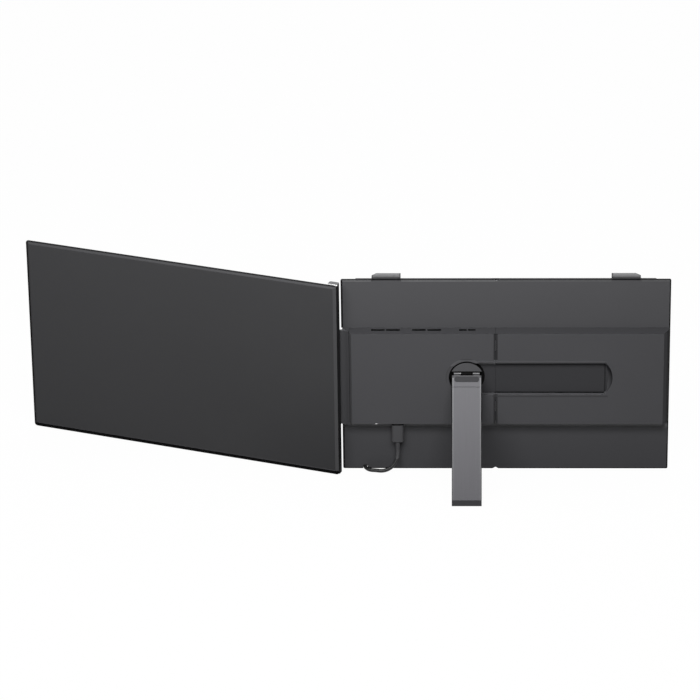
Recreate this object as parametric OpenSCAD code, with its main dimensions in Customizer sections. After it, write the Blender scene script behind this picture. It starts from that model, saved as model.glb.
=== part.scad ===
// Laptop screen extender: a bracket that hangs on the laptop's lid and widens to fit it, with one
// side screen on a vertical hinge and a swivelling kickstand. Millimetres, +Z up, the backs of the
// bracket and of the screen face -Y, the user sits at +Y.

/* [Bracket] */
// Height of the bracket
plate_h = 202; // [190:1:215]
// Width of the fixed left half
left_w = 148; // [146:1:150]
// Width of the sliding right half
right_w = 167; // [164:1:175]
// Thickness of each back plate
plate_t = 2.0; // [1.8:0.1:2.4]
// Thickness of the slide plate that joins the halves
slide_t = 1.2; // [1.0:0.1:1.6]
// How far the slide plate stops short of each side
slide_inset = 13.8; // [10:0.2:16]
// How far the right half slides out
slide_travel = 80; // [40:5:80]
// Corner radius of the plates
plate_r = 1.5; // [0.5:0.1:3]
// Running clearance between sliding flat parts
run_gap = 0.3; // [0.2:0.05:0.4]
// Thickness of the rubber pads that touch the lid
pad_t = 1.0; // [0.6:0.1:1.4]
// Height of each rubber pad
pad_h = 12; // [8:1:14]

/* [Housing] */
// How far the housing stands out from the plates
body_d = 7.0; // [6.6:0.1:8]
// How far the housing sits above the middle of the plates
body_up = 0.5; // [-2:0.5:3]
// Height of the housing's flat face
face_h = 96.4; // [95:0.2:98]
// Height of the sloping strip above the face
strip_h = 3.6; // [3:0.1:4.5]
// Wall thickness of the housing
wall = 1.4; // [1.2:0.1:1.6]
// Left edge of the housing
body_x = 7.6; // [7.4:0.1:8.4]
// Width of the bevel at the housing's right end
end_bevel = 5.6; // [4:0.2:6.5]
// Depth of the groove along the seam
seam_d = 0.8; // [0.4:0.1:0.9]
// Width of the groove in each half
seam_w = 1.9; // [1.5:0.1:2.4]
// Length of a long vent slot
vent_l = 13; // [8:0.5:14]
// Width of a vent slot
vent_w = 1.6; // [1:0.1:1.8]

/* [Stand] */
// Swivel centre from the seam, to the left
disc_in = 27.7; // [26:0.1:30]
// Radius of the well that the stand's disc turns in
well_r = 16.95; // [16.7:0.05:17.2]
// Gap around the disc
disc_gap = 0.9; // [0.6:0.05:1.1]
// Pocket's edge above the swivel centre
pocket_up = 15.2; // [15:0.1:15.4]
// Pocket's edge below the swivel centre
pocket_down = 17.75; // [17.4:0.05:18]
// Width of the rolled lip along the pocket's upper edge
lip_w = 4.1; // [3.5:0.1:4.4]
// Radius of the round far end of the pocket
pocket_end_r = 22.7; // [22:0.1:23.4]
// Depth of the leg's pocket
pocket_d = 4.5; // [4.3:0.1:4.8]
// Far end of the pocket from the left edge
pocket_end = 260.3; // [256:0.1:264]
// Thickness of the pocket's floor
floor_t = 1.2; // [1:0.1:1.4]
// Hinge pin above the swivel centre
pin_up = 4.3; // [4:0.1:5]
// Width of the leg
leg_w = 28.6; // [26:0.2:29]
// Thickness of the leg
leg_t = 2.6; // [2.2:0.1:2.8]
// Angle of the open leg at rest
leg_open = 34.5; // [30:0.5:38]
// Length of the leg's hinged head
head_l = 11.1; // [10:0.1:13]
// Length of the rubber foot
foot_l = 5.6; // [4:0.2:8]
// Radius of the leg's hinge pin
pin_r = 1.0; // [0.8:0.05:1.1]
// Width of the knuckle on the disc
knuckle_w = 11.8; // [10:0.2:12]

/* [Hooks] */
// Width of a lid hook
hook_w = 27.6; // [24:0.2:30]
// Centre of the left hook from the left edge
hook_left_x = 43.4; // [40:0.2:50]
// Centre of the right hook from the right edge
hook_right_in = 42.7; // [38:0.2:50]
// How far a hook pulls up
hook_travel = 18; // [10:1:20]
// Thickness of the hook's arm
hook_arm_t = 1.7; // [1.4:0.1:2.2]
// Reach of the hook over the lid
hook_reach = 11.4; // [10.6:0.1:11.6]
// Depth of the hook's lip below its top
lip_h = 5.5; // [4:0.1:7]
// Thickness of the sliding shank
shank_t = 0.6; // [0.5:0.05:0.7]
// Width of the sliding shank
shank_w = 20; // [16:0.5:22]
// Length of the shank below the plate's top
shank_l = 32; // [28:1:34]

/* [Side screen] */
// Width of the side screen
screen_w = 324.5; // [318:0.5:330]
// Thickness of the screen without its hinge bar
screen_t = 7.2; // [7:0.1:7.4]
// Width of the sloping band round the back
screen_bevel = 3.5; // [2.5:0.1:4]
// Depth of the sloping band
bevel_d = 1.4; // [1.2:0.1:1.6]
// Angle of the screen at rest, turned towards the user
screen_turn = 19.3; // [0:0.1:25]
// Width of the hinge bar along the screen's edge
spine_w = 10; // [9.6:0.1:10.4]
// Far face of the hinge bar from the screen's back
spine_d = 9.8; // [9:0.1:10]
// Border beside the picture
border_w = 6.45; // [6.2:0.05:12]
// Border above and below the picture
border_h = 6.75; // [6.4:0.05:12]
// Thickness of the front glass
glass_t = 0.7; // [0.5:0.05:0.8]

/* [Screen hinge] */
// Hinge axis from the bracket's left edge, to the left
hinge_out = 3.0; // [2.8:0.1:3.2]
// Hinge axis from the plates' back faces, towards the user
hinge_in = 2.3; // [2.1:0.05:2.4]
// Hinge axis from the screen's edge
hinge_inset = 5.17; // [5:0.01:5.4]
// Hinge axis from the screen's back
hinge_depth = 17.16; // [17:0.01:17.4]
// Radius of the hinge pin
hinge_pin_r = 1.5; // [1.2:0.1:1.7]
// Running clearance round a pin
pin_gap = 0.05; // [0.02:0.01:0.1]
// Height of the fixed knuckle
knuckle_h = 50; // [40:1:56]
// Height of each hinge arm
arm_h = 19.7; // [14:0.1:20]

/* [USB-C] */
// Port with the cable in it, from the left edge
port_a = 53.4; // [50:0.2:58]
// Spare port, from the left edge
port_b = 32.6; // [30:0.2:38]
// Width of the plug's moulded grip
grip_w = 11.6; // [10:0.1:12.4]
// Thickness of the plug's moulded grip
grip_t = 6.0; // [5.6:0.1:6.4]
// Length of the plug's moulded grip
grip_l = 19.3; // [16:0.1:22]
// Radius of the cable
cord_r = 1.8; // [1.6:0.05:1.9]
// Radius of the coil to its outer turn
coil_r = 25; // [22:0.5:28]

/* [Hidden] */
$fn = 64;
eps = 0.01;
fit = 0.1;                       // between fixed parts that slip together

// Layers of the bracket, from the housing's face to the pads
face_y = -body_d;
slide_y = plate_t + run_gap;
pad_y = slide_y + slide_t;
bracket_w = left_w + right_w;
mid_z = plate_h / 2;
body_z = mid_z - (face_h + strip_h) / 2 + body_up;
face_top = body_z + face_h;
disc_x = left_w - disc_in;
pocket_y = face_y + pocket_d;
slide_x1 = bracket_w - slide_inset;

// Rails on the slide plate, above and below the pocket
rail_off = pocket_down + 14.75;
rail_web = 5;
rail_head = 10;
rail_x0 = 13.9;
rail_x1 = left_w + slide_travel + 58;
rail_head_t = 1.6;
rail_head_y = -3.1;
rail_gap = 0.7;                  // slot in a back plate beside the rail's web
runner_l = 46;
runner_wall = 2.2;

// Stand
disc_r = well_r - disc_gap;
disc_base_t = 1.1;
disc_base_y = pocket_y - run_gap - disc_base_t;
leg_y0 = face_y + 0.1;
pin_y = leg_y0 + leg_t / 2;
pin_z = mid_z + pin_up;
head_gap = 2.1;                  // from the pin to the top edge of the leg
disc_shaft_r = 4;
washer_r = 8;
washer_t = 0.8;
leg_tip = (pin_z + sin(leg_open) * leg_t / 2) / cos(leg_open);
channel_w = leg_w + 1;
channel_y = leg_y0 + leg_t + run_gap;
channel_floor = 0.6;
tray_end = pocket_end - 7.5;
tray_h = 2 * pocket_down - 1.6;
tray_web_off = pocket_down - 4.35;
lip_r = 8.9;
scoop_d = 4.2;
scoop_slope = 3.8;
tab_w = 6.2;                     // each of the leg's two tabs on the pin
tab_x = knuckle_w / 2 + 0.3;

// Screen, measured from its hinge edge and its back face
case_t = screen_t - 0.8;
front_inset = 2.7;
cover_floor = 1.3;
cover_wall_in = 5;
spine_wall = 1.6;
spine_y0 = 2.8;
strap_t = 1.4;
picture_w = screen_w - spine_w - 2 * border_w;
picture_h = plate_h - 2 * border_h;
picture_side = spine_w + border_w;
arm_x0 = hinge_inset + 0.4;
arm_w = 2.8;
eye_r = 3.0;
fixed_r = hinge_in + 1.0;

// Coil in the space between the bracket and the closed screen
cord_y = 7.88;
coil_x = 84;
coil_layers = 3;
coil_in = coil_r - 2 * cord_r * coil_layers;
coil_z = coil_r + cord_r;

// Everything is moved so that the origin lies under the middle of the rest pose's box
far_x = -hinge_out - (screen_w - hinge_inset) * cos(screen_turn)
    - (hinge_depth - bevel_d) * sin(screen_turn);
front_y = hinge_in + (screen_w - front_inset - hinge_inset) * sin(screen_turn)
    - (hinge_depth - screen_t) * cos(screen_turn);
tip_y = pin_y - leg_t / 2 * cos(leg_open) - leg_tip * sin(leg_open);
origin_x = (bracket_w + far_x) / 2;
origin_y = (front_y + tip_y) / 2;

// Cable route, in the bracket's own frame, from the plug's relief along the floor to the coil
CORD = [[53.4, -3.5, 22.9], [53.4, -3.7, 18.5], [53.1, -4.3, 15], [52.3, -5.2, 12.4],
    [50.8, -6.5, 9.6], [48.3, -7.8, 6.5], [45, -8.7, 4], [41, -9.2, 2.4], [36.8, -9.2, 1.8],
    [33.4, -8.6, 1.8], [30.2, -8, 1.8], [27.3, -7.5, 1.8], [24.7, -6, 1.8], [22.8, -3.7, 1.8],
    [21.7, -0.9, 1.8], [21.7, 2.1, 1.8], [22.8, 4.9, 1.8], [24.7, 7.2, 1.8], [27.3, 8.7, 1.8],
    [30.2, 9.2, 1.8], [36, 9.1, 1.8], [46, 8.4, 1.8], [56, 7, 1.8], [64, 6.2, 1.8],
    [70.3, 6.08, 1.8]];
// Tail from the coil to the far plug
TAIL = [[98.1, 9.2, 2.2], [102, 8.6, 3], [108, 8.1, 4.3],
    [114, 7.9, 5.4], [119.9, 7.88, 5.8]];
end_plug_x = 120;
relief_l = 8;
shell_l = 6.7;
shell_w = 8.25;
shell_t = 2.4;

// ---- helpers ----

// Everything drawn inside is in the bracket's own frame
module bracket_frame() { translate([-origin_x, -origin_y, 0]) children(); }
// A flat outline in X and Z, made solid from y0 to y1
module slab(y0, y1) { translate([0, y1, 0]) rotate([90, 0, 0]) linear_extrude(y1 - y0) children(); }
// An outline in X and Y, made solid from z0 to z1
module upright(z0, z1) { translate([0, 0, z0]) linear_extrude(z1 - z0) children(); }
// An outline in Y and Z, made solid from x0 to x1
module along_x(x0, x1) { translate([x0, 0, 0]) rotate([90, 0, 90]) linear_extrude(x1 - x0) children(); }
// A round bar along Y
module bar_y(x, z, r, y0, y1) { translate([x, y1, z]) rotate([90, 0, 0]) cylinder(h = y1 - y0, r = r); }
// A round bar along X
module bar_x(y, z, r, x0, x1) { translate([x0, y, z]) rotate([0, 90, 0]) cylinder(h = x1 - x0, r = r); }
module block(x0, x1, y0, y1, z0, z1) { translate([x0, y0, z0]) cube([x1 - x0, y1 - y0, z1 - z0]); }
module rect(x0, x1, z0, z1) { translate([x0, z0]) square([x1 - x0, z1 - z0]); }
// A rectangle with round corners
module soft_rect(x0, x1, z0, z1, r) {
    rect(x0 + r, x1 - r, z0, z1);
    rect(x0, x1, z0 + r, z1 - r);
    for (x = [x0 + r, x1 - r], z = [z0 + r, z1 - r]) translate([x, z]) circle(r);
}
// The leg's frame: modelled closed against the bracket, then swung open about its pin
module leg_frame() {
    translate([disc_x, pin_y, pin_z]) rotate([-leg_open, 0, 0]) translate([0, -pin_y, -pin_z])
        children();
}
// The screen's frame: hinge edge at x = 0, screen towards -X, back at y = 0
module screen_frame() {
    translate([-hinge_out, hinge_in, 0]) rotate([0, 0, -screen_turn])
        translate([hinge_inset, -hinge_depth, 0]) children();
}

// ---- bracket, fixed half ----

// Notch in a plate's lower edge that the cable passes through
module cable_notch(x0, x1) { soft_rect(x0, x1, -3, 3.95, 1.5); }

// Slots in a back plate for the rails and for the tray, open at the seam
module plate_slots(x0, x1, tray_x0, tray_x1) {
    for (s = [-1, 1]) rect(x0, x1, mid_z + s * rail_off - rail_web / 2 - rail_gap,
        mid_z + s * rail_off + rail_web / 2 + rail_gap);
    rect(tray_x0, tray_x1, mid_z - pocket_down, mid_z + pocket_down);
}

// Small V at the seam, at both ends of the plates
module seam_notches() {
    for (z = [0, plate_h], s = [-1, 1])
        polygon([[left_w - 3, z - 0.01], [left_w, z + (z > 0 ? -1.6 : 1.6)], [left_w + 3, z - 0.01],
            [left_w, z + (z > 0 ? 2 : -2)]]);
}

// Channel for a hook's shank, with a wider seat for its guide
module hook_channel(x) {
    slab(plate_t - 1.5, plate_t + 1)
        rect(x - shank_w / 2 - run_gap, x + shank_w / 2 + run_gap, plate_h - shank_l - 2, plate_h + 1);
    slab(plate_t - 0.5, plate_t + 1)
        rect(x - shank_w / 2 - 4, x + shank_w / 2 + 4, plate_h - shank_l - 2, plate_h - 3);
}

// A hook's guide: a thin cover over the shank's channel
module hook_guide(x) {
    slab(plate_t - 0.5, plate_t)
        rect(x - shank_w / 2 - 4 + fit, x + shank_w / 2 + 4 - fit,
            plate_h - shank_l - 2 + fit, plate_h - 3 - fit);
}

HOUSING_SCREWS_LEFT = [for (x = [body_x + 8, left_w - 7], z = [body_z + 5.5, face_top - 4.3]) [x, z]];
HOUSING_SCREWS_RIGHT = [for (x = [left_w + 6, bracket_w - 14], z = [body_z + 5.5, face_top - 4.3]) [x, z]];
PLATE_SCREWS = [[24, 24], [left_w - 12, 24], [24, plate_h - 42], [left_w - 12, plate_h - 24]];
RIVETS_X = [30, 70, left_w - 40, left_w - 12];

// Screw from a plate's front into a boss of the housing
module housing_screws(at) {
    for (p = at) {
        bar_y(p[0], p[1], 1.8, plate_t - 1, plate_t);
        bar_y(p[0], p[1], 0.95, -4.5, plate_t - 1 + eps);
    }
}
module housing_screw_holes(at) {
    for (p = at) {
        bar_y(p[0], p[1], 1.9, plate_t - 1, plate_t + 1);
        bar_y(p[0], p[1], 1.05, -4.6, plate_t + 1);
    }
}
module housing_bosses(at) { for (p = at) bar_y(p[0], p[1], 2.2, face_y + wall - eps, 0); }

module left_back_plate() {
    color("#525254") bracket_frame() difference() {
        union() {
            slab(0, plate_t) difference() {
                soft_rect(0, left_w, 0, plate_h, plate_r);
                plate_slots(rail_x0 - 1, left_w + 1, disc_x - 13, left_w + 1);
                rect(-1, 1, body_z - 2, face_top + strip_h);
                cable_notch(19.5, 23.9);
                seam_notches();
            }
            for (p = PLATE_SCREWS) bar_y(p[0], p[1], 3.2, plate_t - eps, slide_y);
        }
        hook_channel(hook_left_x);
        housing_screw_holes(HOUSING_SCREWS_LEFT);
        for (p = PLATE_SCREWS) bar_y(p[0], p[1], 1.0, 0.6, plate_t + 1);
        for (x = RIVETS_X, s = [-1, 1]) bar_y(x, mid_z + s * rail_off, 1.1, -1, plate_t + 1);
    }
}

// The plate that the fixed half carries behind the sliding half
module slide_plate() {
    color("#48484a") bracket_frame() difference() {
        slab(slide_y, pad_y) difference() {
            soft_rect(slide_inset, slide_x1, 0.4, plate_h, 1.2);
            cable_notch(19.6, 24.4);
        }
        for (p = PLATE_SCREWS) {
            bar_y(p[0], p[1], 1.0, slide_y - 1, pad_y + 1);
            bar_y(p[0], p[1], 2.0, pad_y - 0.7, pad_y + 1);
        }
        for (x = RIVETS_X, s = [-1, 1]) {
            bar_y(x, mid_z + s * rail_off, 1.1, slide_y - 1, pad_y + 1);
            bar_y(x, mid_z + s * rail_off, 2.0, pad_y - 0.6, pad_y + 1);
        }
    }
}

module lid_pad(z) {
    slab(pad_y, pad_y + pad_t)
        soft_rect(slide_inset + 20, slide_x1 - 20, z - pad_h / 2, z + pad_h / 2, 5.9);
}
module upper_pad() { color("#2c2c2e") bracket_frame() lid_pad(mid_z + 58); }
module lower_pad() { color("#2c2c2e") bracket_frame() lid_pad(mid_z - 40); }

// Outline of the well and the pocket in the fixed half, grown by g
module left_opening(g) {
    translate([disc_x, mid_z]) circle(well_r + g);
    rect(disc_x, left_w + 1, mid_z - pocket_down - g, mid_z + pocket_up + g);
}
// Rolled lip along the upper edge, curving from the face into the pocket
module pocket_lip(x0, x1) {
    z0 = mid_z + pocket_up;
    arc = [for (i = [0:6]) let (a = i / 6 * asin(lip_w / lip_r))
        [face_y + lip_r * (1 - cos(a)), z0 + lip_w - lip_r * sin(a)]];
    along_x(x0, x1) polygon(concat([[face_y - 1, z0 + lip_w]], arc,
        [[arc[6][0], z0 - eps], [face_y - 1, z0 - eps]]));
}
// Groove beside the seam, in the housing's face
module seam_groove(x0, x1) { block(x0, x1, face_y - 1, face_y + seam_d, body_z - 1, face_top + 1); }
// Outline of the shallow channel below the well, over the lower rail
module channel_outline(g) { rect(disc_x - channel_w / 2 - g, disc_x + channel_w / 2 + g, body_z - 1, mid_z); }

module left_shell_outline() {
    polygon([[body_x, 0], [body_x, face_y + 1.2], [body_x + 1.6, face_y], [left_w - fit, face_y],
        [left_w - fit, 0]]);
}

module left_housing() {
    color("#4f4f51") bracket_frame() difference() {
        union() {
            difference() {
                upright(body_z, face_top) left_shell_outline();
                block(body_x + wall, left_w + 1, face_y + wall, 1, body_z + wall, face_top - wall);
            }
            intersection() {
                union() {
                    slab(face_y, pocket_y + floor_t) left_opening(floor_t);
                    slab(face_y, channel_y + channel_floor) channel_outline(floor_t);
                }
                block(body_x, left_w - fit, face_y, 1, body_z, face_top);
            }
            housing_bosses(HOUSING_SCREWS_LEFT);
        }
        slab(face_y - 1, pocket_y) left_opening(0);
        slab(face_y - 1, channel_y) channel_outline(0);
        // dished rim round the well
        translate([disc_x, face_y + 0.8, mid_z]) rotate([90, 0, 0])
            cylinder(h = 0.8 + eps, r1 = well_r - eps, r2 = well_r + 3.7);
        pocket_lip(disc_x + 11, left_w + 1);
        seam_groove(left_w - seam_w, left_w + 1);
        bar_y(disc_x, mid_z, disc_shaft_r + pin_gap, face_y, 1);
        housing_screw_holes(HOUSING_SCREWS_LEFT);
        for (x = [port_a, port_b])
            block(x - 4.8, x + 4.8, -5.4, -1.6, body_z - 1, body_z + wall + 0.2);
        for (p = vent_places()) block(p[0], p[1], -3.4, -1.8, face_top - wall - 1, face_top + 1);
        block(body_x - 1, body_x + 3, -1.1, 1, mid_z - knuckle_h / 2 - 0.4, mid_z + knuckle_h / 2 + 0.4);
    }
}

// Vent slots, as pairs of start and end along X
function vent_places() = [[28.6, 28.6 + vent_l], [43.2, 43.2 + vent_l], [68, 68 + vent_l],
    [82.8, 82.8 + vent_l], [113, 120.2], [121.6, 128.8]];

// Sloping strip along the top of the housing, solid at its lower edge
module strip_profile() { polygon([[0, face_top], [0, face_top + strip_h], [face_y, face_top]]); }
module strip_hollow() {
    polygon([[-1.2, face_top - 1], [-1.2, face_top + strip_h - 2.1], [-4, face_top], [-4, face_top - 1]]);
}

module left_vent_strip() {
    color("#3e3e40") bracket_frame() difference() {
        intersection() {
            along_x(body_x, left_w - fit) strip_profile();
            upright(face_top - 1, face_top + strip_h + 1) left_shell_outline();
        }
        along_x(body_x + 4, left_w - 6) strip_hollow();
        for (p = vent_places())
            block(p[0], p[1], -2.6 - vent_w / 2, -2.6 + vent_w / 2, face_top - 1, face_top + 6);
    }
}

// Floor of the pocket: a hat-shaped rail under the sliding half's opening
module leg_tray() {
    color("#3c3c3e") bracket_frame() {
        slab(pocket_y, pocket_y + floor_t)
            soft_rect(left_w, tray_end, mid_z - tray_h / 2, mid_z + tray_h / 2, 1);
        for (s = [-1, 1]) block(left_w, tray_end, pocket_y + floor_t - eps, slide_y,
            mid_z + s * tray_web_off - floor_t / 2, mid_z + s * tray_web_off + floor_t / 2);
    }
}

// A T-shaped rail riveted to the slide plate
module rail(z) {
    difference() {
        union() {
            block(rail_x0, rail_x1, rail_head_y, rail_head_y + rail_head_t,
                z - rail_head / 2, z + rail_head / 2);
            block(rail_x0, rail_x1, rail_head_y + rail_head_t - eps, slide_y,
                z - rail_web / 2, z + rail_web / 2);
        }
        for (x = RIVETS_X) bar_y(x, z, 1.1, -0.6, slide_y + 1);
    }
}
module upper_rail() { color("#a9a9ad") bracket_frame() rail(mid_z + rail_off); }
module lower_rail() { color("#a9a9ad") bracket_frame() rail(mid_z - rail_off); }

module rail_rivets() {
    color("#b8b8bc") bracket_frame() for (x = RIVETS_X, s = [-1, 1]) {
        bar_y(x, mid_z + s * rail_off, 1.0, -0.5, pad_y - 0.6 + eps);
        bar_y(x, mid_z + s * rail_off, 1.9, pad_y - 0.6, pad_y);
    }
}

module bracket_screws() {
    color("#8c8c90") bracket_frame() for (p = PLATE_SCREWS) {
        bar_y(p[0], p[1], 0.9, 0.8, pad_y - 0.7 + eps);
        bar_y(p[0], p[1], 1.9, pad_y - 0.7, pad_y);
    }
}
module left_housing_screws() { color("#8c8c90") bracket_frame() housing_screws(HOUSING_SCREWS_LEFT); }

// Main board with its chips and coils, standing on four posts
board_y = -1.6;
module main_board() {
    x1 = disc_x - well_r - floor_t - 4.15;
    color("#24543a") bracket_frame() {
        translate([0, 0, mid_z]) {
            block(28, x1, board_y, board_y + 1, -24, 24);
            for (x = [31, x1 - 3], z = [-21, 21]) bar_y(x, z, 1.5, board_y + 1 - eps, 0);
            block(44, 58, board_y - 1.2, board_y + eps, -7, 7);
            block(x1 - 32, x1 - 22, board_y - 1, board_y + eps, -17, -7);
            for (z = [-17, -11, 11, 17]) block(34, 39, board_y - 1.8, board_y + eps, z, z + 4);
            for (x = [x1 - 34, x1 - 28, x1 - 22, x1 - 16])
                block(x, x + 3, board_y - 0.8, board_y + eps, 9, 12);
            block(x1 - 14, x1 - 2, board_y - 1.6, board_y + eps, -1, 3);
        }
    }
}
module port_board() {
    color("#24543a") bracket_frame() {
        block(port_b - 10.6, port_a + 12.6, -1.9, -0.9, body_z + wall + 0.3, body_z + 10.9);
        for (x = [port_b - 7.6, port_a + 9.6]) bar_y(x, body_z + 8.5, 1.5, -0.9 - eps, 0);
    }
}
// USB-C sockets with their tongues
module usb_ports() {
    color("#c4c4c8") bracket_frame() for (x = [port_a, port_b]) {
        difference() {
            block(x - 4.5, x + 4.5, -5.1, -1.9, body_z + 0.2, body_z + 7.5);
            block(x - 4.3, x + 4.3, -4.9, -2.1, body_z - 1, body_z + 6.6);
        }
        block(x - 3.3, x + 3.3, -3.85, -3.15, body_z + 1.2, body_z + 6.6 + eps);
    }
}
// Flat cable from the port board, over the lower rail, to the main board
module board_flex() {
    color("#b98b3a") bracket_frame() {
        x0 = port_a + 12.6;
        z0 = body_z + 5.5;
        z1 = mid_z - 22;
        block(x0 + 2, x0 + 14, -3.6, -3.45, z0 + 2, z1 + 0.2);
        block(x0 + 2, x0 + 14, -3.6, board_y, z1, z1 + 0.2);
        block(x0, x0 + 14, -3.6, -3.45, z0, z0 + 2 + eps);
        block(x0, x0 + 0.2, -3.6, -0.95, z0, z0 + 2 + eps);
    }
}

// Steel hinge leaf with the fixed knuckle
module hinge_bracket() {
    color("#8c8c90") bracket_frame() difference() {
        union() {
            translate([-hinge_out, hinge_in, mid_z - knuckle_h / 2]) cylinder(h = knuckle_h, r = fixed_r);
            block(-hinge_out, 24, -1, 0, mid_z - knuckle_h / 2, mid_z + knuckle_h / 2);
        }
        translate([-hinge_out, hinge_in, 0]) cylinder(h = plate_h, r = hinge_pin_r);
    }
}
module hinge_pin() {
    pin_l = knuckle_h + 2 * arm_h + 1.2;
    color("#c4c4c8") bracket_frame() translate([-hinge_out, hinge_in, mid_z - pin_l / 2]) {
        cylinder(h = pin_l, r = hinge_pin_r);
        for (z = [-1.2, pin_l - eps]) translate([0, 0, z]) cylinder(h = 1.2 + eps, r = 2.6);
    }
}
// Sloping cover over the hinge, beside the housing
module hinge_cover() {
    x1 = body_x - 0.3;
    color("#434345") bracket_frame() difference() {
        upright(body_z - 1.5, face_top + strip_h - 1.5)
            polygon([[x1, 0], [x1, -6.2], [-2.4, -2.7], [-2.4, -1.45], [1, -0.3], [1.2, 0]]);
        upright(body_z - 0.3, face_top + strip_h - 2.7)
            polygon([[x1 - 1.2, 1], [x1 - 1.2, -4.5], [-2.4, -1.45], [-3, -1], [-3, 1]]);
        block(-4, x1 + 1, -1.1, 1, mid_z - knuckle_h / 2 - 0.4, mid_z + knuckle_h / 2 + 0.4);
    }
}
module left_hook_guide() { color("#39393b") bracket_frame() hook_guide(hook_left_x); }

// ---- bracket, sliding half ----

hook_right_x = bracket_w - hook_right_in;

module right_back_plate() {
    color("#525254") bracket_frame() difference() {
        slab(0, plate_t) difference() {
            soft_rect(left_w, bracket_w, 0, plate_h, plate_r);
            plate_slots(left_w - 1, rail_x1 + 1.5, left_w - 1, pocket_end + 2);
            seam_notches();
        }
        hook_channel(hook_right_x);
        housing_screw_holes(HOUSING_SCREWS_RIGHT);
    }
}

module right_shell_outline(inset) {
    x1 = bracket_w - 0.4;
    polygon([[left_w + fit, 0], [left_w + fit, face_y + inset],
        [x1 - end_bevel - inset * 0.6, face_y + inset],
        [x1 - inset, -0.8], [x1 - inset, 0]]);
}
// Outline of the pocket in the sliding half, grown by g
module right_opening(g) {
    rect(left_w - 1, pocket_end - pocket_end_r, mid_z - pocket_down - g, mid_z + pocket_up + g);
    intersection() {
        translate([pocket_end - pocket_end_r, mid_z]) circle(pocket_end_r + g);
        rect(pocket_end - pocket_end_r - 1, pocket_end + g + 1, mid_z - pocket_down - g,
            mid_z + pocket_up + g);
    }
}

module right_housing() {
    color("#4f4f51") bracket_frame() difference() {
        union() {
            difference() {
                upright(body_z, face_top) right_shell_outline(0);
                upright(body_z + wall, face_top - wall) translate([-0.5, 0.01]) right_shell_outline(wall);
            }
            // skirt round the opening, clear of the tray
            slab(face_y, pocket_y - run_gap) intersection() {
                right_opening(floor_t);
                rect(left_w + fit, bracket_w, 0, plate_h);
            }
            // scoop beyond the tray
            slab(face_y, -0.4) intersection() {
                right_opening(floor_t);
                rect(tray_end + 0.6, bracket_w, 0, plate_h);
            }
            housing_bosses(HOUSING_SCREWS_RIGHT);
        }
        slab(face_y - 1, pocket_y) intersection() {
            right_opening(0);
            rect(left_w - 1, tray_end + 2, 0, plate_h);
        }
        intersection() {
            translate([pocket_end - pocket_end_r, face_y + scoop_d, mid_z]) rotate([90, 0, 0])
                cylinder(h = scoop_d + eps, r1 = pocket_end_r - scoop_slope, r2 = pocket_end_r);
            slab(face_y - 1, 0) intersection() {
                right_opening(0);
                rect(tray_end + 1.6, bracket_w, 0, plate_h);
            }
        }
        pocket_lip(left_w - 1, tray_end + 1.2);
        seam_groove(left_w - 1, left_w + seam_w);
        slab(pocket_y - run_gap - eps, 1) rect(left_w - 1, tray_end + 0.6, mid_z - 25, mid_z + 25);
        housing_screw_holes(HOUSING_SCREWS_RIGHT);
    }
}

module right_top_strip() {
    color("#3e3e40") bracket_frame() difference() {
        intersection() {
            along_x(left_w + fit, bracket_w) strip_profile();
            upright(face_top - 1, face_top + strip_h + 1) right_shell_outline(0);
        }
        along_x(left_w + 6, bracket_w - 14) strip_hollow();
    }
}

// A runner that wraps a rail's head
module runner(z) {
    half = rail_head / 2 + run_gap + runner_wall;
    difference() {
        block(left_w + 2, left_w + 2 + runner_l, face_y + wall + eps, 0, z - half, z + half);
        block(left_w + 1, left_w + 3 + runner_l, rail_head_y - run_gap, rail_head_y + rail_head_t + run_gap,
            z - rail_head / 2 - run_gap, z + rail_head / 2 + run_gap);
        block(left_w + 1, left_w + 3 + runner_l, rail_head_y, 1,
            z - rail_web / 2 - run_gap, z + rail_web / 2 + run_gap);
    }
}
module upper_runner() { color("#d8d8d4") bracket_frame() runner(mid_z + rail_off); }
module lower_runner() { color("#d8d8d4") bracket_frame() runner(mid_z - rail_off); }
module right_housing_screws() { color("#8c8c90") bracket_frame() housing_screws(HOUSING_SCREWS_RIGHT); }
module right_hook_guide() { color("#39393b") bracket_frame() hook_guide(hook_right_x); }

// ---- lid hooks ----

// One hook: a thin shank in the plate, an arm over the lid and a lip; side is the outer side
module hook(x, side) {
    z0 = plate_h + run_gap;
    z1 = z0 + hook_arm_t;
    y0 = plate_t - 1.3;
    difference() {
        union() {
            slab(y0, y0 + shank_t) rect(x - shank_w / 2, x + shank_w / 2, plate_h - shank_l, z0 + eps);
            along_x(x - hook_w / 2, x + hook_w / 2) {
                polygon([[0.2, z0], [0.2, z0 + 0.4], [0.5, z0 + 1.1], [1.3, z1 - 0.1], [2.4, z1],
                    [hook_reach - 0.6, z1], [hook_reach, z1 - 0.6], [hook_reach, z1 - lip_h],
                    [hook_reach - 1.2, z1 - lip_h], [hook_reach - 1.2, z0]]);
            }
        }
        // the outer corner is cut off in plan
        translate([0, 0, z1 - lip_h - 1]) linear_extrude(lip_h + 2)
            polygon([[x + side * (hook_w / 2 - 5.6), hook_reach + 1],
                [x + side * (hook_w / 2 + 1), hook_reach + 1],
                [x + side * (hook_w / 2 + 1), hook_reach - 6.5]]);
    }
}
module hook_pad(x, side) {
    z1 = plate_h + run_gap;
    slab(hook_reach - 2, hook_reach - 1.2)
        rect(x - hook_w / 2 + (side < 0 ? 7 : 2), x + hook_w / 2 - (side > 0 ? 7 : 2),
            z1 + hook_arm_t - lip_h, z1);
}
module left_hook() { color("#56565a") bracket_frame() hook(hook_left_x, -1); }
module left_hook_pad() { color("#2c2c2e") bracket_frame() hook_pad(hook_left_x, -1); }
module right_hook() { color("#56565a") bracket_frame() hook(hook_right_x, 1); }
module right_hook_pad() { color("#2c2c2e") bracket_frame() hook_pad(hook_right_x, 1); }

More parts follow.
